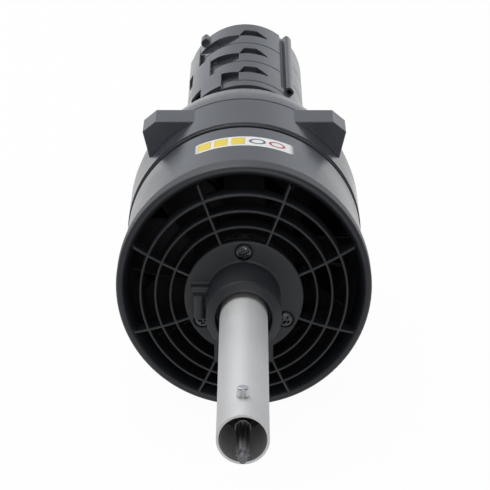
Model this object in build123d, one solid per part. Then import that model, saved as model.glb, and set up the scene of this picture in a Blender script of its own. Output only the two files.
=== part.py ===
from build123d import *
import os
from math import asin, cos, degrees, radians, sin, sqrt, tan

# Blower attachment for a split-shaft garden machine: a pipe with its drive shaft, a guarded
# intake, an axial fan, guide vanes, a two-part round housing and a twist-lock nozzle sleeve.
# The machine axis is +Y, from the pipe's open end towards the nozzle; +Z is up. Millimetres.
# The origin is the centre of the pipe's open end.

# Fits
slip = 0.05            # radial play of a shaft or pin in its hole
seat = 0.10            # radial play between two moulded pieces that fit together
free = 0.35            # play between pieces that move past each other
over = 1.0             # how far a cutter or a joined piece reaches past its face

# Pipe and locating pin
pipe_od = 25.4
pipe_wall = 1.2
pin_d = 6.0
pin_from_end = 22.7
pin_stands = 4.4
pin_depth = 2.4
pin_chamfer = 0.6

# Drive shaft
shaft_d = 8.0
shaft_stands_out = 22.5
spline_d = 6.8
spline_root_d = 5.6
spline_length = 30.0
spline_teeth = 9
pilot_d = 4.0
pilot_length = 6.0
shaft_past_clip = 2.5
bush_length = 18.0
bush_first_y = 38.0
bush_second_y = 122.0

# Intake guard: hub disc, collar, grille and rim
hub_face_y = 184.0
hub_r = 32.0
hub_thick = 4.5
collar_r = 20.0
collar_length = 32.0
collar_mouth_gap = 2.4
collar_mouth_depth = 10.0
collar_chamfer = 3.0
clamp_block_half = 15.6
clamp_block_drop = 25.6
clamp_slit = 2.0
lug_gap = 3.4
lug_r = 3.8
lug_top = 4.6
lug_foot = 8.4
lug_stands = 11.0
lug_plate = 5.0
lug_plate_top = 7.6
guard_depth = 13.0
guard_bow = 1.6
rim_wall = 1.7
rim_length = 12.0
rim_round = 2.4
bell_draw = 5.2
bell_curve = 12.0
bell_length = 17.0
bell_wall = 1.9
ring_first = 7.5
ring_pitch = 8.2
ring_count = 3
rib_wall = 1.1
rib_depth = 10.0
spoke_count = 8
spoke_laps_hub = 3.0

# Screws in the hub disc and in the clamp
hub_screw_d = 4.0
hub_screw_length = 15.0
hub_screw_head_d = 8.4
hub_screw_head_h = 3.0
hub_screw_ring_r = 25.6
hub_screw_count = 3
head_pocket_play = 0.5
head_pocket_depth = 2.0
clamp_screw_d = 5.0
clamp_screw_head_d = 8.5
clamp_screw_head_h = 5.0
clamp_screw_drop = 20.4
clamp_nut_across = 8.0
clamp_nut_h = 4.0

# Bearings and the bearing housing behind the hub disc
bearing_od = 22.0
bearing_width = 7.0
ball_d = 4.0
ball_count = 7
housing_flange = 4.0
pipe_socket = 12.0
housing_wall = 7.0
housing_neck = 3.0
housing_shaft_gap = 2.0
housing_past_bearing = 3.4
circlip_thick = 1.2
circlip_reach = 2.0
circlip_groove = 0.9
circlip_gap = 3.0

# Fan
fan_gap = 14.0
fan_length = 34.0
fan_hub_r = 28.0
fan_hub_wall = 2.5
fan_nose = 6.0
fan_nose_length = 8.0
fan_boss_r = 9.0
fan_tip_gap = 1.9
blade_count = 9
blade_wall = 2.2
blade_root_pitch = 42.0
blade_tip_pitch = 66.0
blade_root_chord = 34.0
blade_tip_chord = 44.0
blade_camber = 3.0
blade_past_tip = 4.0
spacer_r = 6.2
washer_r = 8.0
washer_thick = 1.6
nut_across = 13.0
nut_height = 6.5

# Housing shells
band_r = 67.0
band_length = 47.5
band_lip = 2.6
band_lip_step = 0.7
shell_below_band = 0.6
shell_draft = 1.4
shell_wall = 2.6
shell_under_rim = 6.0
shell_length = 74.0
spigot_length = 19.0
seam_gap = 5.6
dome_step = 0.4
dome_gap = 3.0
dome_gap_depth = 1.8
dome_shoulder_length = 38.0
dome_shoulder_drop = 5.2
dome_length = 74.0
dome_lean = 20.0
dome_start_slope = 0.04
dome_end_slope = 0.16
fin_thick = 23.0
fin_top_below = 6.6
fin_corner_in = 15.8
fin_tip_in = 8.3
fin_tip_below = 12.8
fin_foot_in = 12.6
fin_foot_below = 30.2
fin_root_in = 14.0
fin_wall = 2.6
neck_bare = 52.3
neck_in_sleeve = 47.3

# Guide vanes
nut_to_stator = 2.0
bearing_inset = 2.0
stator_length = 46.0
stator_wall = 2.4
stator_ring_length = 24.0
tail_length = 40.0
tail_tip_r = 9.0
vane_count = 7
vane_wall = 2.2
vane_lean = 24.0

# Nozzle sleeve
nozzle_length = 148.5
nozzle_r = 38.4
nozzle_wall = 5.0
lip_round = 1.5
outlet_step = 0.8
outlet_past_neck = 4.0
row_pitch = 44.5
first_row_from_end = 11.5
row_count = 3
line_width = 1.4
line_depth = 1.0
recess_depth = 3.8
strip_start_depth = 0.4
strip_ramp = 21.0
peak_ramp_start = 17.6
peak_ramp = 7.0
pad_height = 2.4
pad_near_x = 28.2
pad_near_step = 20.0
pad_side_x = 34.5
pad_far_x = 37.0
pad_far_from_end = 80.0
pad_first_x = 15.2
pad_row_step = 7.6
strip_rise = 24.0
strip_kink_x = 18.6
strip_inner_x = 4.0
peak_left_x = 0.6
peak_right_x = 7.8
peak_tail_x = 14.8
peak_rise = 31.0
tail_rise = 20.0
peak_foot_drop = 1.0
rib_angle = 46.5
rib_width = 6.0
rib_height = 3.4
rib_root = 1.5
rib_top_round = 2.2
groove_angle = 40.2
groove_width = 3.6
groove_depth = 1.4
rib_near_from_end = 22.0
rib_socket = 3.0
rib_socket_depth = 8.0
stub_angle = -44.0
stub_length = 13.0
notch_angle = -60.5
notch_width = 3.2
notch_height = 1.5

# Twist lock between the neck and the nozzle
lock_lug_width = 6.0
lock_lug_length = 8.0
pad_roof = 2.0
lock_lug_from_end = 22.0
lock_lug_angle = -32.5
lock_turn = 17.0
lock_side_play = 1.2
lock_turns = (0, 180)

# Derived sizes
shell_rear_r = band_r - shell_below_band
shell_front_r = shell_rear_r + shell_draft
rim_r = shell_front_r + seat + rim_wall
rim_front_y = hub_face_y + guard_depth
bell_throat_r = shell_front_r - bell_draw
ring_radii = [hub_r + ring_first + ring_pitch * n for n in range(ring_count)]
shell_front_y = rim_front_y + shell_under_rim
shell_end_y = shell_front_y + shell_length
pipe_r = pipe_od / 2
collar_mouth_r = pipe_r + collar_mouth_gap
lug_x = collar_r + lug_gap
pipe_bore_r = pipe_r - pipe_wall
shaft_r = shaft_d / 2
hub_back_y = hub_face_y + hub_thick
collar_front_y = hub_face_y - collar_length
pipe_end_y = hub_back_y + pipe_socket
bearing_r = bearing_od / 2
front_bearing_y = pipe_end_y + housing_neck
front_bearing_end = front_bearing_y + bearing_width
housing_end_y = front_bearing_end + housing_past_bearing
housing_r = pipe_r + housing_wall
fan_front_y = front_bearing_end + fan_gap
fan_end_y = fan_front_y + fan_length
washer_end_y = fan_end_y + washer_thick
nut_end_y = washer_end_y + nut_height
stator_front_y = nut_end_y + nut_to_stator
rear_bearing_y = stator_front_y + bearing_inset
rear_bearing_end = rear_bearing_y + bearing_width
shaft_end_y = rear_bearing_end + circlip_thick + shaft_past_clip
race_inner_r = (shaft_r + bearing_r) / 2 - ball_d / 2 - slip
race_outer_r = (shaft_r + bearing_r) / 2 + ball_d / 2 + slip
ball_ring_r = (shaft_r + bearing_r) / 2
shell_bore_r = shell_rear_r - shell_wall
band_front_y = shell_end_y + seam_gap
band_end_y = band_front_y + band_length
band_bore_r = band_r - shell_wall
spigot_r = band_bore_r - seat
spigot_end_y = shell_end_y + spigot_length
fan_tip_r = shell_bore_r - fan_tip_gap
stator_ring_y = spigot_end_y + seat
stator_ring_end = stator_ring_y + stator_ring_length
stator_ring_r = band_bore_r - seat
stator_hub_r = fan_hub_r
stator_end_y = stator_front_y + stator_length
dome_end_y = band_end_y + dome_length
nozzle_near_y = dome_end_y + neck_bare
nozzle_end_y = nozzle_near_y + nozzle_length
nozzle_bore_r = nozzle_r - nozzle_wall
neck_r = nozzle_bore_r - free
neck_end_y = nozzle_near_y + neck_in_sleeve
outlet_y = neck_end_y + outlet_past_neck
outlet_r = nozzle_bore_r - outlet_step
row_starts = [nozzle_near_y + first_row_from_end + row_pitch * n for n in range(row_count)]
pad_steps_x = [pad_first_x + pad_row_step * n for n in range(row_count)]
lock_lug_y = nozzle_near_y + lock_lug_from_end
lock_lug_r = nozzle_r + pad_height - pad_roof - free


def outline(*points):
    """A closed flat face through (radius, y) points in the XY plane."""
    return make_face(Polyline(*points, close=True))


def turned(*points):
    """A solid turned about the machine axis from (radius, y) points."""
    return revolve(outline(*points), Axis.Y)


def tube(outer, inner, start, end):
    """A plain ring about the machine axis."""
    return turned((inner, start), (outer, start), (outer, end), (inner, end))


def rod(radius, start, end):
    """A plain cylinder about the machine axis."""
    return turned((0, start), (radius, start), (radius, end), (0, end))


def spun(shape, angle):
    """The shape turned about the machine axis; positive angles go from +Z towards +X."""
    return Rot(0, angle, 0) * shape


def sector(outer, inner, start, end, first_angle, last_angle):
    """A piece of a ring between two angles, counted from +Z towards +X."""
    face = outline((inner, start), (outer, start), (outer, end), (inner, end))
    return spun(revolve(face, Axis.Y, last_angle - first_angle), first_angle - 90)


def bar(width, low, high, start, end, angle=0, across=0):
    """A straight bar along the axis, standing from radius low to high at an angle."""
    block = Pos(across, (start + end) / 2, (low + high) / 2) * Box(width, end - start, high - low)
    return spun(block, angle)


def upright(points, low, high):
    """A prism over (x, y) points, standing from z low to z high."""
    return Pos(0, 0, low) * extrude(outline(*points), high - low)


def save(shape, name):
    export_step(shape, "parts/" + name + ".step")


def make_pipe():
    body = tube(pipe_r, pipe_bore_r, 0, pipe_end_y)
    hole = Pos(0, pin_from_end, pipe_r) * Cylinder(pin_d / 2 + slip, 4 * pipe_wall)
    return body - hole


def make_locating_pin():
    height = pin_depth + pin_stands
    pin = Cylinder(pin_d / 2, height)
    pin = chamfer(pin.edges().group_by(Axis.Z)[-1], pin_chamfer)
    return Pos(0, pin_from_end, pipe_r - pin_depth + height / 2) * pin


def make_drive_shaft():
    tip_y = -shaft_stands_out
    spline_y = tip_y + pilot_length
    spline_end = spline_y + spline_length
    shaft = rod(pilot_d / 2, tip_y, spline_y) + rod(spline_d / 2, spline_y, spline_end)
    groove_width = spline_root_d * sin(radians(90 / spline_teeth))
    for n in range(spline_teeth):
        groove = bar(groove_width, spline_root_d / 2, spline_d, spline_y, spline_end, 360 / spline_teeth * n)
        shaft -= groove
    shaft += rod(shaft_r, spline_end, shaft_end_y)
    clip_y = rear_bearing_end
    return shaft - tube(shaft_r + over, shaft_r - circlip_groove, clip_y, clip_y + circlip_thick)


def make_shaft_bushes():
    pair = []
    for start in (bush_first_y, bush_second_y):
        pair.append(tube(pipe_bore_r - slip, shaft_r + slip, start, start + bush_length))
    return Compound(pair)


def dome_y(radius):
    """How far back the guard's front lies at a radius: a slightly bowed cone."""
    share = max(0.0, (radius - hub_r) / (rim_r - hub_r))
    return hub_face_y + guard_depth * share ** guard_bow


def make_grille():
    inner = hub_r - spoke_laps_hub
    outer = bell_throat_r + bell_wall
    middle = (inner + outer) / 2
    front = ThreePointArc((inner, dome_y(inner)), (middle, dome_y(middle)), (outer, dome_y(outer)))
    sides = Polyline((outer, dome_y(outer)), (outer, dome_y(outer) + rib_depth),
                     (inner, dome_y(inner) + rib_depth), (inner, dome_y(inner)))
    field = revolve(make_face([front, sides]), Axis.Y)
    start = hub_face_y - rib_depth
    end = rim_front_y + 2 * rib_depth
    ribs = bar(rib_wall, inner, outer, start, end, 180 / spoke_count)
    for n in range(1, spoke_count):
        ribs += bar(rib_wall, inner, outer, start, end, 180 / spoke_count + 360 / spoke_count * n)
    for radius in ring_radii:
        ribs += tube(radius + rib_wall / 2, radius - rib_wall / 2, start, end)
    behind_hub = rod(hub_r, hub_back_y, end)
    return (field & ribs) - behind_hub


def make_rim():
    step_y = shell_front_y - seat
    inner_skirt = shell_front_r + seat
    bell_end = rim_front_y + bell_length
    bell_back_r = bell_throat_r + bell_wall
    curve_end = rim_front_y + bell_curve
    rolled_y = rim_front_y + rim_round
    top = (rim_r - rim_round, rim_front_y)
    half = rim_round * (1 - sqrt(0.5))
    roll = ThreePointArc((rim_r, rolled_y), (rim_r - half, rim_front_y + half), top)
    skirt_end = rim_front_y + rim_length
    reach = rim_r - rim_round - bell_throat_r
    bell = EllipticalCenterArc((rim_r - rim_round, curve_end), reach, bell_curve, 180, arc_size=90)
    rest = Polyline((bell_throat_r, curve_end), (bell_throat_r, bell_end), (bell_back_r, bell_end),
                    (bell_back_r, step_y), (inner_skirt, step_y), (inner_skirt, skirt_end),
                    (rim_r, skirt_end), (rim_r, rolled_y))
    return revolve(make_face([roll, bell, rest]), Axis.Y)


def hub_screw_places():
    for n in range(hub_screw_count):
        angle = 360 / hub_screw_count * n
        yield hub_screw_ring_r * sin(radians(angle)), hub_screw_ring_r * cos(radians(angle))


def along_axis(radius, x, z, start, end):
    """A cylinder parallel to the machine axis through (x, z)."""
    return Pos(x, 0, z) * rod(radius, start, end)


def clamp_screw_place():
    return Pos(0, (collar_front_y + collar_chamfer + hub_face_y) / 2, -clamp_screw_drop) * Rot(0, 90, 0)


def make_collar():
    """The collar on the hub disc, its split clamp block below and the cable lug at its left."""
    bore = pipe_r + slip
    mouth_y = collar_front_y + collar_mouth_depth
    block_y = collar_front_y + collar_chamfer
    collar = turned((bore, mouth_y), (collar_mouth_r, mouth_y), (collar_mouth_r, collar_front_y),
                    (collar_r, collar_front_y + collar_chamfer), (collar_r, hub_face_y), (bore, hub_face_y))
    block = upright([(-clamp_block_half, block_y), (clamp_block_half, block_y),
                     (clamp_block_half, hub_face_y), (-clamp_block_half, hub_face_y)], -clamp_block_drop, 0)
    lug_y = hub_face_y - lug_stands + lug_r
    plate_y = hub_face_y - lug_plate
    side = lug_x + lug_r
    plate_side = side + rib_wall
    lug = Pos(-lug_x, lug_y, (lug_top - lug_foot) / 2) * Cylinder(lug_r, lug_top + lug_foot)
    web = upright([(-side, lug_y), (-pipe_r, lug_y), (-pipe_r, hub_face_y),
                   (-side, hub_face_y)], -lug_foot, lug_top)
    plate = upright([(-plate_side, plate_y), (-pipe_r, plate_y), (-pipe_r, hub_face_y),
                     (-plate_side, hub_face_y)], -lug_foot, lug_plate_top)
    core = rod(collar_r - over, collar_front_y, hub_face_y)
    return collar + (block - core) + lug + (web + plate - core)


def make_intake_guard():
    bore = pipe_r + slip
    guard = tube(hub_r, bore, hub_face_y, hub_back_y) + make_collar()
    guard += make_grille()
    guard += make_rim()
    guard -= bar(clamp_slit, -clamp_block_drop - over, -bore + over, collar_front_y - over, hub_face_y)
    place = clamp_screw_place()
    guard -= place * Cylinder(clamp_screw_d / 2 + slip, 4 * clamp_block_half)
    head_place = place * Pos(0, 0, clamp_block_half - clamp_screw_head_h / 2)
    guard -= head_place * Cylinder(clamp_screw_head_d / 2 + slip, clamp_screw_head_h)
    nut_place = place * Pos(0, 0, clamp_nut_h / 2 - clamp_block_half)
    guard -= nut_place * Box(clamp_nut_across + 2 * slip, clamp_nut_across + 2 * slip, clamp_nut_h)
    for x, z in hub_screw_places():
        guard -= along_axis(hub_screw_d / 2 + slip, x, z, hub_face_y, hub_back_y)
        guard -= along_axis(hub_screw_head_d / 2 + head_pocket_play, x, z, hub_face_y - hub_screw_head_h,
                            hub_face_y + head_pocket_depth)
    return guard


def make_hub_screws():
    screws = []
    seat_y = hub_face_y + head_pocket_depth
    for x, z in hub_screw_places():
        head = along_axis(hub_screw_head_d / 2, x, z, seat_y - hub_screw_head_h, seat_y)
        head = fillet(head.edges().group_by(Axis.Y)[0], hub_screw_head_h / 3)
        screws.append(head + along_axis(hub_screw_d / 2, x, z, seat_y, seat_y + hub_screw_length))
    return Compound(screws)


def make_clamp_screw():
    head = Cylinder(clamp_screw_head_d / 2, clamp_screw_head_h)
    head = Pos(0, 0, clamp_block_half - clamp_screw_head_h / 2) * head
    length = 2 * clamp_block_half - clamp_screw_head_h
    shank = Pos(0, 0, -clamp_screw_head_h / 2) * Cylinder(clamp_screw_d / 2, length)
    return clamp_screw_place() * (head + shank)


def make_clamp_nut():
    nut = Box(clamp_nut_across, clamp_nut_across, clamp_nut_h)
    nut -= Cylinder(clamp_screw_d / 2 + slip, 2 * clamp_nut_h)
    return clamp_screw_place() * Pos(0, 0, clamp_nut_h / 2 - clamp_block_half) * nut


def make_bearing_housing():
    body = tube(hub_r - over, pipe_r + slip, hub_back_y, hub_back_y + housing_flange)
    body += tube(housing_r, pipe_r + slip, hub_back_y, pipe_end_y)
    body += tube(housing_r, shaft_r + housing_shaft_gap, pipe_end_y, front_bearing_y)
    body += tube(housing_r, bearing_r + slip, front_bearing_y, housing_end_y)
    clip_y = front_bearing_end
    body -= tube(bearing_r + circlip_groove, bearing_r, clip_y, clip_y + circlip_thick)
    screw_end = hub_face_y + head_pocket_depth + hub_screw_length
    for x, z in hub_screw_places():
        boss = along_axis(hub_screw_d, x, z, hub_back_y, screw_end + over)
        body += boss - rod(housing_r - over, hub_back_y, screw_end + over)
    for x, z in hub_screw_places():
        body -= along_axis(hub_screw_d / 2 + slip, x, z, hub_back_y, screw_end)
    return body


def make_outer_race(start):
    return tube(bearing_r, race_outer_r, start, start + bearing_width)


def make_inner_race(start):
    return tube(race_inner_r, shaft_r + slip, start, start + bearing_width)


def make_balls(start):
    balls = []
    for n in range(ball_count):
        ball = Pos(0, start + bearing_width / 2, ball_ring_r) * Sphere(ball_d / 2)
        balls.append(spun(ball, 360 / ball_count * n))
    return Compound(balls)


def make_housing_circlip():
    outer = bearing_r + circlip_groove - slip
    end = front_bearing_end + circlip_thick
    ring = tube(outer, bearing_r - circlip_reach, front_bearing_end, end)
    return ring - bar(circlip_gap, bearing_r - 2 * circlip_reach, outer + over, front_bearing_end, end, 180)


def make_shaft_circlip():
    inner = shaft_r - circlip_groove + slip
    end = rear_bearing_end + circlip_thick
    ring = tube(shaft_r + circlip_reach - circlip_groove, inner, rear_bearing_end, end)
    return ring - bar(2 * inner - over, 0, bearing_r, rear_bearing_end, end, 180)


def make_fan_spacer():
    return tube(spacer_r, shaft_r + slip, front_bearing_end, fan_front_y)


def blade_section(radius, pitch, chord):
    """A thin bowed section in a plane square to the radius, at its pitch from the axis."""
    half = chord / 2
    top = ThreePointArc((-half, 0), (0, blade_camber + blade_wall), (half, 0))
    under = ThreePointArc((half, 0), (0, blade_camber), (-half, 0))
    face = make_face([top, under])
    place = Plane(origin=(0, (fan_front_y + fan_end_y) / 2, radius), x_dir=(1, 0, 0), z_dir=(0, 0, 1))
    return place * Rot(0, 0, 90 - pitch) * face


def make_fan():
    hub_front = fan_front_y + fan_hub_wall
    hub_in = fan_hub_r - fan_hub_wall
    nose_r = fan_hub_r - fan_nose
    nose_y = fan_front_y + fan_nose_length
    bore = shaft_r + slip
    hub = turned((bore, fan_front_y), (nose_r, fan_front_y), (fan_hub_r, nose_y), (fan_hub_r, fan_end_y),
                 (hub_in, fan_end_y), (hub_in, nose_y + over), (nose_r - over, hub_front),
                 (fan_boss_r, hub_front), (fan_boss_r, fan_end_y), (bore, fan_end_y))
    root_r = fan_hub_r - fan_hub_wall / 2
    middle_r = (root_r + fan_tip_r) / 2
    sections = [blade_section(root_r, 90 - blade_root_pitch, blade_root_chord),
                blade_section(middle_r, 90 - (blade_root_pitch + blade_tip_pitch) / 2,
                              (blade_root_chord + blade_tip_chord) / 2),
                blade_section(fan_tip_r + blade_past_tip, 90 - blade_tip_pitch, blade_tip_chord)]
    blade = loft(sections) & tube(fan_tip_r, root_r - over, fan_front_y, fan_end_y)
    fan = hub
    for n in range(blade_count):
        fan += spun(blade, 360 / blade_count * n)
    return fan


def make_fan_washer():
    return tube(washer_r, shaft_r + slip, fan_end_y, washer_end_y)


def make_fan_nut():
    hexagon = RegularPolygon(nut_across / 2, 6, major_radius=False)
    nut = extrude(Plane.XZ.offset(-washer_end_y) * hexagon, -nut_height)
    return nut - rod(shaft_r + slip, washer_end_y - over, nut_end_y + over)


def make_front_shell():
    spigot_in = spigot_r - shell_wall
    return turned((shell_front_r, shell_front_y), (shell_rear_r, shell_end_y), (spigot_r, shell_end_y),
                  (spigot_r, spigot_end_y), (spigot_in, spigot_end_y), (spigot_in, shell_end_y - shell_wall),
                  (shell_bore_r, shell_end_y - 2 * shell_wall), (shell_front_r - shell_wall, shell_front_y))


def fin_face(inset=0.0):
    """The right fin's flat outline in the XZ plane; its foot lies inside the band."""
    top = band_r - fin_top_below - inset
    foot = band_r - fin_foot_below + inset / 2
    return [(fin_root_in, top), (band_r - fin_corner_in - inset / 2, top),
            (band_r - fin_tip_in - inset, band_r - fin_tip_below - inset / 2),
            (band_r - fin_foot_in - inset, foot), (band_r - fin_foot_in - fin_root_in, foot)]


def fin_prism(inset, start, end):
    face = make_face(Polyline(*fin_face(inset), close=True))
    return Pos(0, start, 0) * extrude(Plane.XZ * face, -(end - start))


def make_fin():
    fin = fin_prism(0, band_end_y - fin_thick, band_end_y)
    fin -= fin_prism(fin_wall, band_end_y - fin_thick + fin_wall, band_end_y + over)
    return fin - rod(band_bore_r + shell_wall / 2, band_front_y, band_end_y + over)


def dome_line(offset):
    """The dome's curve from the band to the neck, drawn in by the offset."""
    start = (band_r - dome_step - offset, band_end_y + dome_gap)
    lean = radians(dome_lean)
    middle = (band_r - dome_shoulder_drop - offset * cos(lean),
              band_end_y + dome_shoulder_length - offset * sin(lean))
    end = (neck_r, dome_end_y) if offset == 0 else (neck_r - offset, dome_end_y - offset / 2)
    return Spline(start, middle, end, tangents=[(-dome_start_slope, 1), (-1, dome_end_slope)])


def make_rear_shell():
    outer = dome_line(0)
    inner = dome_line(shell_wall)
    o_start, o_end = outer @ 0, outer @ 1
    i_start, i_end = inner @ 0, inner @ 1
    stop_y = stator_ring_end + seat
    lip_r = band_r - band_lip_step
    gap_r = band_r - dome_gap_depth
    lip_y = band_front_y + band_lip
    before = Polyline((i_start.X, i_start.Y), (i_start.X, stop_y), (band_bore_r, stop_y),
                      (band_bore_r, band_front_y), (lip_r, band_front_y), (lip_r, lip_y), (band_r, lip_y),
                      (band_r, band_end_y), (gap_r, band_end_y), (gap_r, o_start.Y), (o_start.X, o_start.Y))
    after = Polyline((o_end.X, o_end.Y), (neck_r, neck_end_y), (i_end.X, neck_end_y), (i_end.X, i_end.Y))
    shell = revolve(make_face([before, outer, after, inner]), Axis.Y)
    fin = make_fin()
    shell += fin
    shell += mirror(fin, Plane.YZ)
    for turn in lock_turns:
        shell += make_lock_lug(turn)
    return shell


def make_lock_lug(turn):
    end = lock_lug_y + lock_lug_length
    lug = bar(lock_lug_width, neck_r - over, lock_lug_r + over, lock_lug_y, end, lock_lug_angle + turn)
    return lug & tube(lock_lug_r, neck_r - shell_wall / 2, lock_lug_y, end)


def make_stator():
    pocket_r = bearing_r + slip
    boss_r = bearing_r + stator_wall
    back_y = rear_bearing_end
    hub_in = stator_hub_r - stator_wall
    tail_y = stator_end_y + tail_length
    front_in = stator_front_y + stator_wall
    tail_in = tail_y - stator_wall
    boss_end = back_y + stator_wall
    clip_r = shaft_r + circlip_reach + over
    hub = turned((pocket_r, stator_front_y), (stator_hub_r, stator_front_y), (stator_hub_r, stator_end_y),
                 (tail_tip_r, tail_y), (0, tail_y), (0, tail_in), (tail_tip_r - over, tail_in),
                 (hub_in, stator_end_y), (hub_in, front_in), (boss_r, front_in), (boss_r, boss_end),
                 (clip_r, boss_end), (clip_r, back_y), (pocket_r, back_y))
    ring = tube(stator_ring_r, stator_ring_r - stator_wall, stator_ring_y, stator_ring_end)
    lean = stator_ring_length * tan(radians(vane_lean))
    plan = outline((-vane_wall / 2, stator_ring_end), (vane_wall / 2, stator_ring_end),
                   (vane_wall / 2 + lean, stator_ring_y), (-vane_wall / 2 + lean, stator_ring_y))
    vane = Pos(0, 0, hub_in + over) * extrude(plan, stator_ring_r - hub_in)
    half_wall = stator_wall / 2
    vane = vane & tube(stator_ring_r - half_wall, hub_in + half_wall, stator_front_y, stator_end_y)
    stator = hub + ring
    for n in range(vane_count):
        stator += spun(vane, 360 / vane_count * n)
    return stator


def pad_outline():
    """Plan of the raised pad left of the recesses, stepping out row by row."""
    far_y = nozzle_near_y + pad_far_from_end
    near_y = nozzle_near_y + pad_near_step
    points = [(-pad_far_x, far_y), (-pad_side_x, far_y), (-pad_side_x, near_y), (-pad_near_x, near_y),
              (-pad_near_x, nozzle_near_y), (-pad_first_x, nozzle_near_y)]
    for start, step in zip(row_starts, pad_steps_x):
        points.append((-step, start + strip_rise))
        points.append((-step - pad_row_step, start + strip_rise))
    points[-1] = (-pad_far_x, points[-1][1])
    return points


def strip_outline(row):
    """Plan of the strip beside the pad, which narrows towards the peak."""
    y = row_starts[row]
    left = -pad_steps_x[row]
    bend = max(left, -strip_kink_x)
    inner_y = y + tail_rise - peak_foot_drop
    points = [(left, y), (-strip_inner_x, y), (-strip_inner_x, inner_y), (bend, y + strip_rise)]
    if left < bend:
        points.append((left, y + strip_rise))
    return points


def peak_outline(row):
    """Plan of the peaked notch that ends the strip."""
    y = row_starts[row]
    foot_y = y + tail_rise - peak_foot_drop
    return [(-strip_inner_x, y), (peak_tail_x, y), (peak_tail_x, y + tail_rise),
            (peak_right_x, y + peak_rise), (-peak_left_x, y + peak_rise), (-strip_inner_x, foot_y)]


def strip_wedge(row):
    """A cutter with a flat floor, square to the strip's middle, that sinks along the sleeve."""
    start = row_starts[row]
    middle_x = (pad_steps_x[row] + strip_inner_x) / 2
    high = nozzle_r + pad_height + over
    floor = nozzle_r - recess_depth
    end = start + row_pitch
    side = make_face(Polyline((start, nozzle_r - strip_start_depth), (start + strip_ramp, floor), (end, floor),
                              (end, high), (start, high), close=True))
    block = extrude(Plane.YZ.offset(-nozzle_r) * side, 2 * nozzle_r)
    return spun(block, -degrees(asin(middle_x / nozzle_r)))


def ramp_ring(start, length):
    """A cutter ring whose floor sinks from the sleeve's face to the recess depth."""
    floor = nozzle_r - recess_depth
    end = start + row_pitch
    return turned((nozzle_r + over, start), (nozzle_r, start), (floor, start + length), (floor, end),
                  (nozzle_r + over, end))


def round_bar(start, end, angle):
    """A rib along the sleeve with a rounded top."""
    low = nozzle_r - rib_root
    high = nozzle_r + rib_height
    block = Pos(0, (start + end) / 2, (low + high) / 2) * Box(rib_width, end - start, high - low)
    edges = block.edges().filter_by(Axis.Y).group_by(Axis.Z)[-1]
    return spun(fillet(edges, rib_top_round), angle)


def make_lock_channel(turn):
    """The path of a neck lug inside the sleeve: in from the near end, then round to its stop."""
    half = degrees(asin(lock_lug_width / 2 / neck_r)) + lock_side_play
    outer = lock_lug_r + free
    turn_end = lock_lug_angle + half + turn
    entry = lock_lug_angle - lock_turn - half + turn
    lug_end = lock_lug_y + lock_lug_length + free
    path = sector(outer, nozzle_bore_r - over, lock_lug_y - free, lug_end, entry, turn_end)
    return path + sector(outer, nozzle_bore_r - over, nozzle_near_y - over, lug_end, entry, entry + 2 * half)


def make_nozzle():
    top = 2 * nozzle_r
    pad_r = nozzle_r + pad_height
    rib_near = nozzle_near_y + rib_near_from_end
    body = turned((nozzle_bore_r, nozzle_near_y), (nozzle_r, nozzle_near_y), (nozzle_r, nozzle_end_y),
                  (outlet_r, nozzle_end_y), (outlet_r, outlet_y), (nozzle_bore_r, outlet_y))
    body = fillet(body.edges().group_by(Axis.Y)[-1], lip_round)
    for start in row_starts:
        body -= tube(nozzle_r + over, nozzle_r - line_depth, start - line_width, start)
    features = tube(pad_r, nozzle_r - over, nozzle_near_y, nozzle_end_y) & upright(pad_outline(), 0, top)
    rib_end = nozzle_end_y - lip_round
    features += round_bar(rib_near, rib_end, rib_angle)
    features += round_bar(nozzle_end_y - stub_length, rib_end, stub_angle)
    socket_end = rib_near + rib_socket_depth
    cuts = bar(rib_socket, nozzle_r, nozzle_r + rib_socket - rib_wall, rib_near - over, socket_end, rib_angle)
    notch_y = nozzle_near_y + pad_far_from_end
    cuts += bar(notch_width, nozzle_r - notch_height / 2, nozzle_r + notch_height, notch_y - over,
                notch_y + rib_socket_depth, notch_angle)
    for row in range(row_count):
        cuts += strip_wedge(row) & upright(strip_outline(row), 0, top)
        cuts += ramp_ring(row_starts[row] + peak_ramp_start, peak_ramp) & upright(peak_outline(row), 0, top)
    groove_floor = nozzle_r - groove_depth
    groove = bar(groove_width, groove_floor, nozzle_r + over, rib_near, nozzle_end_y + over, groove_angle)
    for turn in lock_turns:
        body -= spun(groove, turn)
        body += spun(features, turn)
    for turn in lock_turns:
        body -= spun(cuts, turn)
        body -= make_lock_channel(turn)
    return body


def main():
    os.makedirs("parts", exist_ok=True)
    save(make_pipe(), "pipe")
    save(make_locating_pin(), "locating_pin")
    save(make_drive_shaft(), "drive_shaft")
    save(make_shaft_bushes(), "shaft_bushes")
    save(make_intake_guard(), "intake_guard")
    save(make_hub_screws(), "hub_screws")
    save(make_clamp_screw(), "clamp_screw")
    save(make_clamp_nut(), "clamp_nut")
    save(make_bearing_housing(), "bearing_housing")
    for name, start in (("front_bearing", front_bearing_y), ("rear_bearing", rear_bearing_y)):
        save(make_outer_race(start), name + "_outer_race")
        save(make_inner_race(start), name + "_inner_race")
        save(make_balls(start), name + "_balls")
    save(make_housing_circlip(), "housing_circlip")
    save(make_shaft_circlip(), "shaft_circlip")
    save(make_fan_spacer(), "fan_spacer")
    save(make_fan(), "fan")
    save(make_fan_washer(), "fan_washer")
    save(make_fan_nut(), "fan_nut")
    save(make_front_shell(), "front_shell")
    save(make_rear_shell(), "rear_shell")
    save(make_stator(), "stator")
    save(make_nozzle(), "nozzle")


main()
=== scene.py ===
from math import cos, hypot, pi, radians, sin

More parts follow.
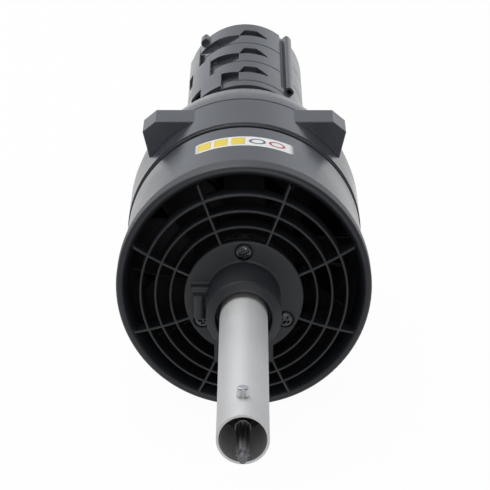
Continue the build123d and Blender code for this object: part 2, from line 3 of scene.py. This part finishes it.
import bpy
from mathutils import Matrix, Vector


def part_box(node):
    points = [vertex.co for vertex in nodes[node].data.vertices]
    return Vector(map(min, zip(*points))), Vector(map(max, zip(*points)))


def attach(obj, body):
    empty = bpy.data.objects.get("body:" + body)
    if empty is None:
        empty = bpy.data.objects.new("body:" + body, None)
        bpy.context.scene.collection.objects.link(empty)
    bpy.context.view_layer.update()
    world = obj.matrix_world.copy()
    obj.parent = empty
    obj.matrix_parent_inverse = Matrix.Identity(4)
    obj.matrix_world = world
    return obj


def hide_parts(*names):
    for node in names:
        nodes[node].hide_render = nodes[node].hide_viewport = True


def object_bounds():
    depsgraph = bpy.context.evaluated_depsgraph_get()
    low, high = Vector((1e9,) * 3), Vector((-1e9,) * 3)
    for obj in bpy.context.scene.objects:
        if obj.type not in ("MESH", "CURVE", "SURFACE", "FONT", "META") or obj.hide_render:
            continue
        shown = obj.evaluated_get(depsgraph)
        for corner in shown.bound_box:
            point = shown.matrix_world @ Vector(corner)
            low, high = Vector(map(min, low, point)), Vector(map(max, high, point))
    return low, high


MM = 0.001

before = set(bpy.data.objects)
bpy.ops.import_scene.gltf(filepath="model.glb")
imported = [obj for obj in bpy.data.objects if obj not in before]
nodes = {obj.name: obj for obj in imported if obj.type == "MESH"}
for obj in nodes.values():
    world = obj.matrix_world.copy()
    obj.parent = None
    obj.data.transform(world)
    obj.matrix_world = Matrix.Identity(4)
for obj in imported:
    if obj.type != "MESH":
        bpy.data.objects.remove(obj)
cad_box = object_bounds()

# Label on top of the front shell: a strip with plain fields and plain outlines
LABEL_START_Y = 242.0 * MM
LABEL_END_Y = 259.0 * MM
LABEL_ACROSS = 0.1 * MM
LABEL_HALF_WIDTH = 27.9 * MM
LABEL_CORNER = 2.0 * MM
LABEL_FILM = 0.12 * MM
FIELD_FILM = 0.06 * MM
FIELD_WIDTH = 7.6 * MM
FIELD_MARGIN = 2.2 * MM
FIELD_CORNER = 0.4 * MM
FIELD_CENTRES = (-22.4 * MM, -13.0 * MM, -3.4 * MM)
OUTLINE_CENTRES = (7.3 * MM, 18.4 * MM)
OUTLINE_RADIUS = 4.8 * MM
OUTLINE_WIDTH = 1.5 * MM

# Taper of the front shell, which the label follows: its radius at both ends and its length, in millimetres
SHELL_START_R = 67.8
SHELL_END_R = 66.4
SHELL_LENGTH = 74.0
SHELL_TAPER = (SHELL_START_R - SHELL_END_R) / SHELL_LENGTH

# Hub screws: pan heads with a cross recess, each turned differently, in degrees
SCREW_COUNT = 3
SCREW_FIRST_TURN = 20
SCREW_NEXT_TURN = 37
SCREW_HEAD_R = 4.2 * MM
SCREW_HEAD_H = 3.0 * MM
SCREW_SHANK_R = 2.0 * MM
CROWN_SHARE = 0.42
CROWN_POWER = 3.2
CROSS_ARM = 2.5 * MM
CROSS_HALF = 0.75 * MM
CROSS_DEPTH = 1.7 * MM
CROSS_SLOPE = 0.35 * MM

# Patterns: scale per metre, and the darkest and lightest share of a colour
PLASTIC_CLOUD = 26.0
PLASTIC_GRAIN = 2600.0
PLASTIC_TONES = (0.88, 1.12)
METAL_CLOUD = 20.0
METAL_GRAIN = 900.0
METAL_TONES = (0.95, 1.03)
FILM_MOTTLE = 900.0
FILM_TONES = (0.95, 1.0)

# The part of a noise's range that colour and roughness follow, and how far roughness goes from its middle
COLOUR_RANGE = (0.35, 0.65)
SHEEN_RANGE = (0.3, 0.7)
SMOOTHER = 0.05
ROUGHER = 0.06

# Bump: grain of the mould, the line where its halves meet, and the fine relief of metal and print
GRAIN_STRENGTH = 0.16
GRAIN_DEPTH = 0.12 * MM
PARTING_WIDTH = 0.5 * MM
PARTING_HEIGHT = 3.0
FILM_STRENGTH = 0.05
FINE_DEPTH = 0.05 * MM
EDGE_SAMPLES = 6

# Housing plastic, and the radius within which each shell's inside gets painted shade and is more matt
HOUSING_COLOUR = (0.038, 0.0415, 0.050)
HOUSING_ROUGHNESS = 0.22
HOUSING_EDGE = 0.9 * MM
FRONT_PAINTED_SHADE_R = 65.8 * MM
REAR_PAINTED_SHADE_R = 31.6 * MM
PAINTED_SHADE_BLEND = 0.2 * MM
PAINTED_SHADE_LEVEL = 0.25
INSIDE_ROUGHNESS = 0.95

# Camera fitted to the photograph: its place, tilt and lens for a square frame
CAMERA_AT = Vector((3.25, -1076.5, 491.2)) * MM
CAMERA_TILT = 20.1
CAMERA_TURN = 0.119
CAMERA_LENS = 184.8
CAMERA_SENSOR = 36.0

# Strength of the room and of the white screen behind the part, and the share left in the screen's middle
ROOM_LIGHT = 0.34
SCREEN_LIGHT = 0.66
SCREEN_MIDDLE = 0.4
SKY_COLOUR = (0.90, 0.935, 1.0)

# Where the screen begins and is full, along each axis of a direction
SCREEN_BEHIND = (0.1, 0.9)
SCREEN_ABOVE = (-0.1, 0.1)
SCREEN_ASIDE = (0.05, 0.4)

# Floor: how white it is to the camera and in reflections, and where along Y it turns white in these
FLOOR_COLOUR = (0.82, 0.82, 0.82)
FLOOR_SEEN = 0.97
FLOOR_REFLECTED = 0.9
FLOOR_BEHIND = (-0.2, 0.4)
FLOOR_HALF = 6.0
FLOOR_GAP = 0.2 * MM


# Shader nodes
def add_node(tree, kind, **values):
    node = tree.nodes.new(kind)
    for key, value in values.items():
        setattr(node, key, value)
    return node


def feed(tree, slot, value):
    """Links a socket to an input, or sets the input to a plain value."""
    if isinstance(value, bpy.types.NodeSocket):
        tree.links.new(value, slot)
    else:
        slot.default_value = value


def calculate(tree, operation, *values):
    """A sum of sockets and numbers."""
    node = add_node(tree, "ShaderNodeMath", operation=operation)
    for slot, value in zip(node.inputs, values):
        feed(tree, slot, value)
    return node.outputs[0]


def map_range(tree, value, start, end, low=0.0, high=1.0, shape="LINEAR"):
    """Takes start to low and end to high, and stays there beyond."""
    node = add_node(tree, "ShaderNodeMapRange", interpolation_type=shape)
    ends = {"From Min": start, "From Max": end, "To Min": low, "To Max": high}
    for name, number in ends.items():
        node.inputs[name].default_value = number
    feed(tree, node.inputs["Value"], value)
    return node.outputs["Result"]


def soft_step(tree, value, limits):
    """A soft step from 0 to 1 between two values."""
    return map_range(tree, value, *limits, shape="SMOOTHSTEP")


def axes(tree, vector):
    split = add_node(tree, "ShaderNodeSeparateXYZ")
    feed(tree, split.inputs[0], vector)
    return split.outputs


def part_place(tree):
    """Coordinates in the part's own frame."""
    return add_node(tree, "ShaderNodeTexCoord").outputs["Object"]


def stretched_place(tree, scale):
    mapping = add_node(tree, "ShaderNodeMapping")
    mapping.inputs["Scale"].default_value = scale
    feed(tree, mapping.inputs["Vector"], part_place(tree))
    return mapping.outputs["Vector"]


def noise(tree, scale, detail=3.0, stretch=(1, 1, 1)):
    """Noise in the part's own coordinates; scale counts per metre."""
    pattern = add_node(tree, "ShaderNodeTexNoise")
    pattern.inputs["Scale"].default_value = scale
    pattern.inputs["Detail"].default_value = detail
    feed(tree, pattern.inputs["Vector"], stretched_place(tree, stretch))
    return pattern.outputs["Fac"]


# What materials are made of
def new_material(name, colour, roughness, metallic=0.0):
    material = bpy.data.materials.new(name)
    material.use_nodes = True
    tree = material.node_tree
    shader = tree.nodes["Principled BSDF"]
    shader.inputs["Base Color"].default_value = (*colour, 1)
    shader.inputs["Roughness"].default_value = roughness
    shader.inputs["Metallic"].default_value = metallic
    return material, tree, shader


def vary_colour(tree, shader, factor, colour, tones):
    """Lets a colour go from its first to its last tone with a pattern."""
    ramp = add_node(tree, "ShaderNodeValToRGB")
    for stop, position, tone in zip(ramp.color_ramp.elements, COLOUR_RANGE, tones):
        stop.position = position
        stop.color = (*(c * tone for c in colour), 1)
    feed(tree, ramp.inputs["Fac"], factor)
    feed(tree, shader.inputs["Base Color"], ramp.outputs["Color"])


def vary_roughness(tree, shader, factor, middle):
    sheen = map_range(tree, factor, *SHEEN_RANGE, middle - SMOOTHER, middle + ROUGHER)
    feed(tree, shader.inputs["Roughness"], sheen)


def add_bump(tree, shader, factor, strength, depth, edge=0.0):
    """Bump from a pattern, over edges that are softened by a small radius."""
    bump = add_node(tree, "ShaderNodeBump")
    bump.inputs["Strength"].default_value = strength
    bump.inputs["Distance"].default_value = depth
    feed(tree, bump.inputs["Height"], factor)
    if edge:
        soft = add_node(tree, "ShaderNodeBevel", samples=EDGE_SAMPLES)
        soft.inputs["Radius"].default_value = edge
        feed(tree, bump.inputs["Normal"], soft.outputs["Normal"])
    feed(tree, shader.inputs["Normal"], bump.outputs["Normal"])


def parting_line(tree):
    """A narrow line along the middle plane of the mould, 1 on the line and 0 beside it."""
    aside = calculate(tree, "ABSOLUTE", axes(tree, part_place(tree))["X"])
    return map_range(tree, aside, 0.0, PARTING_WIDTH, 1.0, 0.0)


def paint_inside_shade(tree, shader, radius):
    """Paints shade on what lies nearer to the machine axis than a radius, and makes it more matt."""
    colour = shader.inputs["Base Color"].links[0].from_socket
    sheen = shader.inputs["Roughness"].links[0].from_socket
    reach = add_node(tree, "ShaderNodeVectorMath", operation="LENGTH")
    feed(tree, reach.inputs[0], stretched_place(tree, (1, 0, 1)))
    inner = radius - PAINTED_SHADE_BLEND
    outer = radius + PAINTED_SHADE_BLEND
    shade = map_range(tree, reach.outputs["Value"], inner, outer, PAINTED_SHADE_LEVEL, 1.0)
    matt = map_range(tree, shade, PAINTED_SHADE_LEVEL, 1.0, INSIDE_ROUGHNESS, 0.0)
    feed(tree, shader.inputs["Roughness"], calculate(tree, "MAXIMUM", sheen, matt))
    result = add_node(tree, "ShaderNodeVectorMath", operation="SCALE")
    feed(tree, result.inputs[0], colour)
    feed(tree, result.inputs["Scale"], shade)
    feed(tree, shader.inputs["Base Color"], result.outputs["Vector"])


# Materials
def moulded_plastic(name, colour, roughness, edge=0.5 * MM, parted=False, painted_shade_r=0.0):
    """Dark moulded plastic with a fine spark-eroded grain and a slightly uneven sheen."""
    material, tree, shader = new_material(name, colour, roughness)
    cloud = noise(tree, PLASTIC_CLOUD, 4.0)
    height = noise(tree, PLASTIC_GRAIN, 2.0)
    vary_colour(tree, shader, cloud, colour, PLASTIC_TONES)
    vary_roughness(tree, shader, cloud, roughness)
    if parted:
        height = calculate(tree, "MULTIPLY_ADD", parting_line(tree), PARTING_HEIGHT, height)
    add_bump(tree, shader, height, GRAIN_STRENGTH, GRAIN_DEPTH, edge)
    # Painted shade inside the shell, nearer to the machine axis than the given radius
    if painted_shade_r:
        paint_inside_shade(tree, shader, painted_shade_r)
    return material


def housing_plastic(name, painted_shade_r=0.0):
    """The plastic of the shells and the sleeve, with the mould's parting line, and with painted shade inside
    a radius when one is given.
    """
    return moulded_plastic(name, HOUSING_COLOUR, HOUSING_ROUGHNESS, HOUSING_EDGE, True, painted_shade_r)


def satin_metal(name, colour, roughness, stretch=(1, 1, 1), grain=METAL_GRAIN, edge=0.3 * MM, strength=0.12,
                metallic=1.0):
    """Metal with fine drawn or ground lines."""
    material, tree, shader = new_material(name, colour, roughness, metallic)
    lines = noise(tree, grain, 3.0, stretch)
    cloud = noise(tree, METAL_CLOUD, 3.0)
    vary_colour(tree, shader, cloud, colour, METAL_TONES)
    vary_roughness(tree, shader, lines, roughness)
    add_bump(tree, shader, lines, strength, FINE_DEPTH, edge)
    return material


def printed_film(name, colour, roughness=0.38):
    """Printed label film: a smooth film with faint print mottling."""
    material, tree, shader = new_material(name, colour, roughness)
    mottle = noise(tree, FILM_MOTTLE, 2.0)
    vary_colour(tree, shader, mottle, colour, FILM_TONES)
    add_bump(tree, shader, mottle, FILM_STRENGTH, FINE_DEPTH)
    return material


HOUSING = housing_plastic("housing_plastic")
# Both shells get painted shade on their insides, nearer to the machine axis than a radius
FRONT_SHELL_PAINTED_SHADE = housing_plastic("front_shell_painted_shade", FRONT_PAINTED_SHADE_R)
REAR_SHELL_PAINTED_SHADE = housing_plastic("rear_shell_painted_shade", REAR_PAINTED_SHADE_R)
GUARD = moulded_plastic("guard_plastic", (0.010, 0.0112, 0.0145), 0.46, edge=2.2 * MM)
INNER = moulded_plastic("inner_plastic", (0.008, 0.008, 0.009), 0.55)
PIPE = satin_metal("pipe_aluminium", (0.60, 0.595, 0.585), 0.56, stretch=(1, 0.015, 1), grain=1600.0,
                   strength=0.05, metallic=0.55)
CAST = satin_metal("cast_aluminium", (0.34, 0.35, 0.36), 0.55, grain=500.0)
STEEL = satin_metal("ground_steel", (0.42, 0.42, 0.43), 0.34, stretch=(0.05, 1, 0.05))
SHAFT = satin_metal("oiled_steel", (0.16, 0.16, 0.165), 0.36, stretch=(1, 0.05, 1))
PLATED = satin_metal("bright_zinc", (0.56, 0.57, 0.59), 0.24, grain=300.0, edge=0.4 * MM, strength=0.01)
BLACK_STEEL = satin_metal("black_oxide", (0.085, 0.086, 0.090), 0.36)
LABEL_WHITE = printed_film("label_white", (0.88, 0.87, 0.85))
LABEL_YELLOW = printed_film("label_yellow", (0.88, 0.66, 0.015))
LABEL_GREY = printed_film("label_grey", (0.10, 0.105, 0.115))
LABEL_RED = printed_film("label_red", (0.50, 0.045, 0.04))

# Nodes that aren't named here are ground steel
FINISH = {
    "intake_guard": GUARD,
    "front_shell": FRONT_SHELL_PAINTED_SHADE,
    "rear_shell": REAR_SHELL_PAINTED_SHADE,
    "nozzle": HOUSING,
    "fan": INNER,
    "stator": INNER,
    "shaft_bushes": INNER,
    "pipe": PIPE,
    "bearing_housing": CAST,
    "locating_pin": PLATED,
    "drive_shaft": SHAFT,
    "hub_screws": BLACK_STEEL,
}


def finish_nodes():
    for name, node in nodes.items():
        node.data.materials.clear()
        node.data.materials.append(FINISH.get(name, STEEL))


# Pieces that are added to the part
def add_mesh(name, points, faces, material, body):
    mesh = bpy.data.meshes.new(name)
    mesh.from_pydata(points, [], faces)
    mesh.validate()
    mesh.update()
    mesh.materials.append(material)
    piece = bpy.data.objects.new(name, mesh)
    bpy.context.scene.collection.objects.link(piece)
    for polygon in mesh.polygons:
        polygon.use_smooth = True
    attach(piece, body)
    return piece


def fan_faces(first, count):
    """Triangles from a middle point to the ring of points that follows it in a list."""
    return [(first, first + 1 + n, first + 1 + (n + 1) % count) for n in range(count)]


def ring_faces(first, count, rings):
    """Four-sided faces between rings of points that follow one another in a list."""
    faces = []
    for ring in range(rings):
        start = first + ring * count
        for n in range(count):
            after = (n + 1) % count
            faces.append((start + n, start + count + n, start + count + after, start + after))
    return faces


def on_shell(across, y, lift):
    """A point on the front shell's top, given by its width along the surface and its station."""
    low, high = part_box("front_shell")
    radius = high.x - SHELL_TAPER * (y - low.y)
    angle = across / radius
    return ((radius + lift) * sin(angle), y, (radius + lift) * cos(angle))


def film_patch(name, edge, centre, lift, material, rings=10):
    """A thin curved film inside a closed edge of (across, y) points, as rings about its centre."""
    middle_across, middle_y = centre
    points = [on_shell(middle_across, middle_y, lift)]
    for ring in range(1, rings + 1):
        share = ring / rings
        for across, y in edge:
            ring_across = middle_across + (across - middle_across) * share
            ring_y = middle_y + (y - middle_y) * share
            points.append(on_shell(ring_across, ring_y, lift))
    for across, y in edge:
        points.append(on_shell(across, y, 0.0))
    faces = fan_faces(0, len(edge)) + ring_faces(1, len(edge), rings)
    add_mesh(name, points, faces, material, "head")


def film_outline(name, centre, lift, material, steps=48):
    """A plain printed outline."""
    points = []
    for n in range(steps):
        turn = 2 * pi * n / steps
        for reach in (OUTLINE_RADIUS, OUTLINE_RADIUS - OUTLINE_WIDTH):
            points.append(on_shell(centre[0] + reach * cos(turn), centre[1] + reach * sin(turn), lift))
    faces = []
    for n in range(steps):
        after = (n + 1) % steps
        faces.append((2 * n, 2 * after, 2 * after + 1, 2 * n + 1))
    add_mesh(name, points, faces, material, "head")


def rounded_edge(half_width, half_length, centre, corner, run=16, bend=6):
    """Points round a rectangle with rounded corners, with enough of them to follow the curve."""
    points = []
    for side_x, side_y, turn in ((1, 1, 0), (-1, 1, 90), (-1, -1, 180), (1, -1, 270)):
        corner_x = centre[0] + side_x * (half_width - corner)
        corner_y = centre[1] + side_y * (half_length - corner)
        for k in range(bend + 1):
            angle = radians(turn + 90 * k / bend)
            points.append((corner_x + corner * cos(angle), corner_y + corner * sin(angle)))
    full = []
    for n, (x, y) in enumerate(points):
        after_x, after_y = points[(n + 1) % len(points)]
        is_side = hypot(after_x - x, after_y - y) > 4 * corner
        parts = run if is_side else 1
        for k in range(parts):
            full.append((x + (after_x - x) * k / parts, y + (after_y - y) * k / parts))
    return full


def make_label():
    middle_y = (LABEL_START_Y + LABEL_END_Y) / 2
    half_length = (LABEL_END_Y - LABEL_START_Y) / 2
    centre = (LABEL_ACROSS, middle_y)
    edge = rounded_edge(LABEL_HALF_WIDTH, half_length, centre, LABEL_CORNER)
    film_patch("label_strip", edge, centre, LABEL_FILM, LABEL_WHITE)
    lift = LABEL_FILM + FIELD_FILM
    for n, across in enumerate(FIELD_CENTRES):
        centre = (LABEL_ACROSS + across, middle_y)
        edge = rounded_edge(FIELD_WIDTH / 2, half_length - FIELD_MARGIN, centre, FIELD_CORNER, run=6, bend=3)
        film_patch(f"label_field_{n + 1}", edge, centre, lift, LABEL_YELLOW, rings=4)
    for n, (across, material) in enumerate(zip(OUTLINE_CENTRES, (LABEL_GREY, LABEL_RED))):
        film_outline(f"label_ring_{n + 1}", (LABEL_ACROSS + across, middle_y), lift, material)


def cross_depth(x, z):
    """How deep the cross recess is at a place on a screw head, with sloping walls."""
    arm = min(CROSS_ARM - abs(x), CROSS_HALF - abs(z))
    other = min(CROSS_ARM - abs(z), CROSS_HALF - abs(x))
    return CROSS_DEPTH * min(1.0, max(0.0, max(arm, other) / CROSS_SLOPE + 0.5))


def make_hub_screws(rings=30, steps=72):
    """Pan-head screws with a cross recess, in the places of the plain ones."""
    low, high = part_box("hub_screws")
    front = low.y
    seat = front + SCREW_HEAD_H
    below = ((SCREW_HEAD_R, seat), (SCREW_SHANK_R, seat), (SCREW_SHANK_R, high.y))
    pitch = 360 / SCREW_COUNT
    ring_r = (high.x - SCREW_HEAD_R) / sin(radians(pitch))
    turns = [2 * pi * n / steps for n in range(steps)]
    points = []
    faces = []
    for k in range(SCREW_COUNT):
        centre_x = ring_r * sin(radians(pitch * k))
        centre_z = ring_r * cos(radians(pitch * k))
        cross_turn = radians(SCREW_FIRST_TURN + SCREW_NEXT_TURN * k)
        first = len(points)
        points.append((centre_x, front + CROSS_DEPTH, centre_z))
        for ring in range(1, rings + 1):
            reach = SCREW_HEAD_R * ring / rings
            crown = SCREW_HEAD_H * CROWN_SHARE * (ring / rings) ** CROWN_POWER
            for turn in turns:
                x = reach * cos(turn)
                z = reach * sin(turn)
                along = x * cos(cross_turn) + z * sin(cross_turn)
                beside = z * cos(cross_turn) - x * sin(cross_turn)
                points.append((centre_x + x, front + crown + cross_depth(along, beside), centre_z + z))
        for reach, y in below:
            for turn in turns:
                points.append((centre_x + reach * cos(turn), y, centre_z + reach * sin(turn)))
        last = len(points) - steps
        faces += fan_faces(first, steps)
        faces += ring_faces(first + 1, steps, rings + len(below) - 1)
        faces.append(tuple(range(last + steps - 1, last - 1, -1)))
    screws = add_mesh("hub_screw_heads", points, faces, BLACK_STEEL, "head")
    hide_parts("hub_screws")


# Floor, light and camera
def floor_material():
    """Pale and matt, almost white to the camera, and white in reflections where it lies behind the part."""
    material = bpy.data.materials.new("floor")
    material.use_nodes = True
    tree = material.node_tree
    tree.nodes.clear()
    plain = add_node(tree, "ShaderNodeBsdfDiffuse")
    plain.inputs["Color"].default_value = (*FLOOR_COLOUR, 1)
    glow = add_node(tree, "ShaderNodeEmission")
    glow.inputs["Strength"].default_value = 1.0
    path = add_node(tree, "ShaderNodeLightPath").outputs
    place = axes(tree, add_node(tree, "ShaderNodeNewGeometry").outputs["Position"])
    reflected = calculate(tree, "MULTIPLY", soft_step(tree, place["Y"], FLOOR_BEHIND), FLOOR_REFLECTED)
    seen = calculate(tree, "MULTIPLY", path["Is Camera Ray"], FLOOR_SEEN)
    mix = add_node(tree, "ShaderNodeMixShader")
    feed(tree, mix.inputs[0], calculate(tree, "MULTIPLY_ADD", path["Is Glossy Ray"], reflected, seen))
    feed(tree, mix.inputs[1], plain.outputs[0])
    feed(tree, mix.inputs[2], glow.outputs[0])
    out = add_node(tree, "ShaderNodeOutputMaterial")
    feed(tree, out.inputs["Surface"], mix.outputs[0])
    return material


def make_floor():
    z = cad_box[0][2] - FLOOR_GAP
    corners = [(x * FLOOR_HALF, y * FLOOR_HALF, z) for x, y in ((-1, -1), (1, -1), (1, 1), (-1, 1))]
    mesh = bpy.data.meshes.new("floor")
    mesh.from_pydata(corners, [], [(0, 1, 2, 3)])
    mesh.materials.append(floor_material())
    floor = bpy.data.objects.new("floor", mesh)
    bpy.context.scene.collection.objects.link(floor)


def make_world():
    """A white screen behind the part, brighter to its sides, in a dim room; plain white to the camera."""
    world = bpy.data.worlds.new("studio")
    bpy.context.scene.world = world
    world.use_nodes = True
    tree = world.node_tree
    sky = tree.nodes["Background"]
    sky.inputs["Color"].default_value = (*SKY_COLOUR, 1)
    way = axes(tree, add_node(tree, "ShaderNodeTexCoord").outputs["Generated"])
    behind = soft_step(tree, way["Y"], SCREEN_BEHIND)
    above = soft_step(tree, way["Z"], SCREEN_ABOVE)
    aside = soft_step(tree, calculate(tree, "ABSOLUTE", way["X"]), SCREEN_ASIDE)
    wings = calculate(tree, "MULTIPLY_ADD", aside, 1 - SCREEN_MIDDLE, SCREEN_MIDDLE)
    screen = calculate(tree, "MULTIPLY", calculate(tree, "MULTIPLY", behind, above), wings)
    feed(tree, sky.inputs["Strength"], calculate(tree, "MULTIPLY_ADD", screen, SCREEN_LIGHT, ROOM_LIGHT))
    white = add_node(tree, "ShaderNodeBackground")
    white.inputs["Color"].default_value = (1, 1, 1, 1)
    mix = add_node(tree, "ShaderNodeMixShader")
    feed(tree, mix.inputs[0], add_node(tree, "ShaderNodeLightPath").outputs["Is Camera Ray"])
    feed(tree, mix.inputs[1], sky.outputs[0])
    feed(tree, mix.inputs[2], white.outputs[0])
    feed(tree, tree.nodes["World Output"].inputs["Surface"], mix.outputs[0])


def add_area(name, at, target, size, power):
    light = bpy.data.lights.new(name, "AREA")
    light.shape = "RECTANGLE"
    light.size, light.size_y = size
    light.energy = power
    lamp = bpy.data.objects.new(name, light)
    lamp.location = at
    lamp.rotation_euler = (Vector(target) - Vector(at)).to_track_quat("-Z", "Y").to_euler()
    bpy.context.scene.collection.objects.link(lamp)


def make_camera():
    data = bpy.data.cameras.new("camera")
    data.lens = CAMERA_LENS
    data.sensor_width = CAMERA_SENSOR
    camera = bpy.data.objects.new("camera", data)
    camera.location = CAMERA_AT
    camera.rotation_euler = (radians(90 - CAMERA_TILT), 0, radians(CAMERA_TURN))
    bpy.context.scene.collection.objects.link(camera)
    bpy.context.scene.camera = camera


finish_nodes()
make_label()
make_hub_screws()
make_floor()
make_world()
add_area("overhead", at=(-0.4, 0.9, 1.4), target=(0, 0.35, 0), size=(1.5, 1.5), power=16.0)
add_area("front", at=(0.1, -2.2, 0.8), target=(0, 0.2, 0), size=(1.6, 1.0), power=20.0)
make_camera()
bpy.context.scene.view_settings.view_transform = "Standard"
